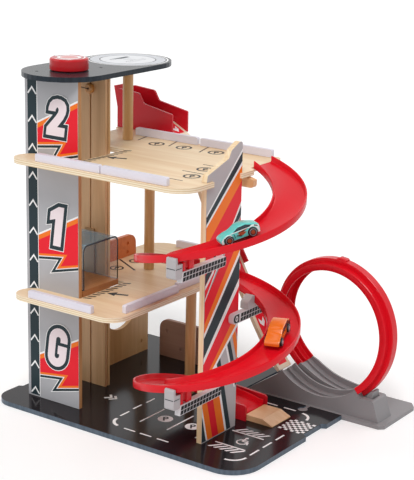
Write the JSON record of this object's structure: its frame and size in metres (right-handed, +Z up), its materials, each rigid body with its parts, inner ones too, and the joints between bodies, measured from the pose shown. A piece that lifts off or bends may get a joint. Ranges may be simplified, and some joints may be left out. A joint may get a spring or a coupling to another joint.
{
  "type": "toy stunt garage",
  "caption": "Wooden toy car garage with a hand-cranked lift, a two-turn spiral track, a dive ramp and a loop.",
  "frame": {"origin": "a point on the underside of the base, 200 mm from its left edge and 165 mm from its front edge", "axes": "+Z up, -Y out of the numbered front face, +X towards the spiral track and the loop"},
  "size_m": [0.4638, 0.3612, 0.4642],
  "materials": {
    "acrylic": "gloss",
    "charcoal": "gloss",
    "check print": "satin",
    "cord": "matte",
    "dark plastic": "satin",
    "dowel": "satin",
    "gray plastic": "satin",
    "gray print": "satin",
    "orange": "gloss",
    "plywood": "satin",
    "rail paint": "satin",
    "red paint": "satin",
    "red plastic": "gloss",
    "rubber": "satin",
    "solid wood": "satin",
    "turquoise": "gloss"
  },
  "bodies": {
    "garage": {"base_board": "charcoal", "tower_front_panel": "gray print", "lift_guide_board_right": "solid wood", "lift_guide_board_left": "solid wood", "tower_back_board": "solid wood", "top_board": "charcoal", "cord_eyelet": "dark plastic", "lift_cord_run": "cord", "level_1_deck": "plywood", "level_2_deck": "plywood", "level_1_rail_front": "rail paint", "level_1_rail_right_front": "rail paint", "level_1_rail_right_back": "rail paint", "level_1_rail_back": "rail paint", "level_2_rail_front_left": "rail paint", "level_2_rail_front_right": "rail paint", "level_2_rail_back_left": "rail paint", "level_2_rail_back_right": "rail paint", "column_ground": "dowel", "column_level_1": "dowel", "column_level_2": "dowel", "scalloped_wall": "plywood", "ground_back_board": "solid wood", "level_1_low_wall": "solid wood", "striped_panel": "gray print", "checkered_beam_upper": "check print", "checkered_beam_lower": "check print", "checkered_beam_back": "check print", "track_bracket": "solid wood", "clip_upper": "gray plastic", "clip_lower": "gray plastic", "clip_back": "gray plastic", "track_half_1": "red plastic", "track_half_2": "red plastic", "track_half_3": "red plastic", "track_half_4": "red plastic", "exit_wall_near": "red paint", "exit_wall_far": "red paint", "exit_wedge": "solid wood", "dive_ramp": "plywood", "dive_ramp_wall": "red paint", "launch_wall_near": "red paint", "launch_wall_far": "red paint", "loop_half_right": "red plastic", "loop_half_left": "red plastic", "loop_base": "gray plastic", "loop_foot_clip": "gray plastic"},
    "knob": {"knob": "red paint", "knob_spindle": "dark plastic"},
    "lift": {"lift_floor": "solid wood", "lift_hood": "acrylic", "lift_slider": "dark plastic", "lift_cord_fall": "cord"},
    "launch_lever": {"launch_lever": "red paint"},
    "turquoise_car": {"turquoise_car_body": "turquoise"},
    "turquoise_car_front_wheels": {"turquoise_car_wheels_front": "rubber"},
    "turquoise_car_rear_wheels": {"turquoise_car_wheels_rear": "rubber"},
    "orange_car": {"orange_car_body": "orange"},
    "orange_car_front_wheels": {"orange_car_wheels_front": "rubber"},
    "orange_car_rear_wheels": {"orange_car_wheels_rear": "rubber"}
  },
  "joints": [
    {"name": "knob_spin", "type": "hinge", "parent": "garage", "child": "knob", "pos_m": [-0.1235, -0.093, 0.456], "axis": [0, 0, 1], "range_deg": [-1099.5, 1296.5]},
    {"name": "lift_slide", "type": "slide", "parent": "garage", "child": "lift", "axis": [0, 0, 1], "range_m": [-0.1536, 0.1811], "deforming": ["lift_cord_fall"]},
    {"name": "launch_lever_hinge", "type": "hinge", "parent": "garage", "child": "launch_lever", "pos_m": [-0.178, 0.097, 0.3465], "axis": [0, 1, 0], "range_deg": [0, 62]},
    {"name": "turquoise_car_lift_off", "type": "slide", "parent": "garage", "child": "turquoise_car", "axis": [0, 0, 1], "range_m": [0, 0.04]},
    {"name": "turquoise_car_front_axle", "type": "hinge", "parent": "turquoise_car", "child": "turquoise_car_front_wheels", "pos_m": [0.15949, -0.14265, 0.28662], "axis": [0.7853, -0.6172, 0.0483], "continuous": true},
    {"name": "turquoise_car_rear_axle", "type": "hinge", "parent": "turquoise_car", "child": "turquoise_car_rear_wheels", "pos_m": [0.17684, -0.11988, 0.29559], "axis": [0.7853, -0.6172, 0.0483], "continuous": true},
    {"name": "orange_car_lift_off", "type": "slide", "parent": "garage", "child": "orange_car", "axis": [0, 0, 1], "range_m": [0, 0.04]},
    {"name": "orange_car_front_axle", "type": "hinge", "parent": "orange_car", "child": "orange_car_front_wheels", "pos_m": [0.18603, -0.07428, 0.1475], "axis": [0.9591, 0.2828, 0.015], "continuous": true},
    {"name": "orange_car_rear_axle", "type": "hinge", "parent": "orange_car", "child": "orange_car_rear_wheels", "pos_m": [0.1778, -0.04686, 0.15647], "axis": [0.9591, 0.2828, 0.015], "continuous": true}
  ],
  "couplings": [
    {"joint": "lift_slide", "follows": "knob_spin", "m_per_rad": 0.008}
  ]
}
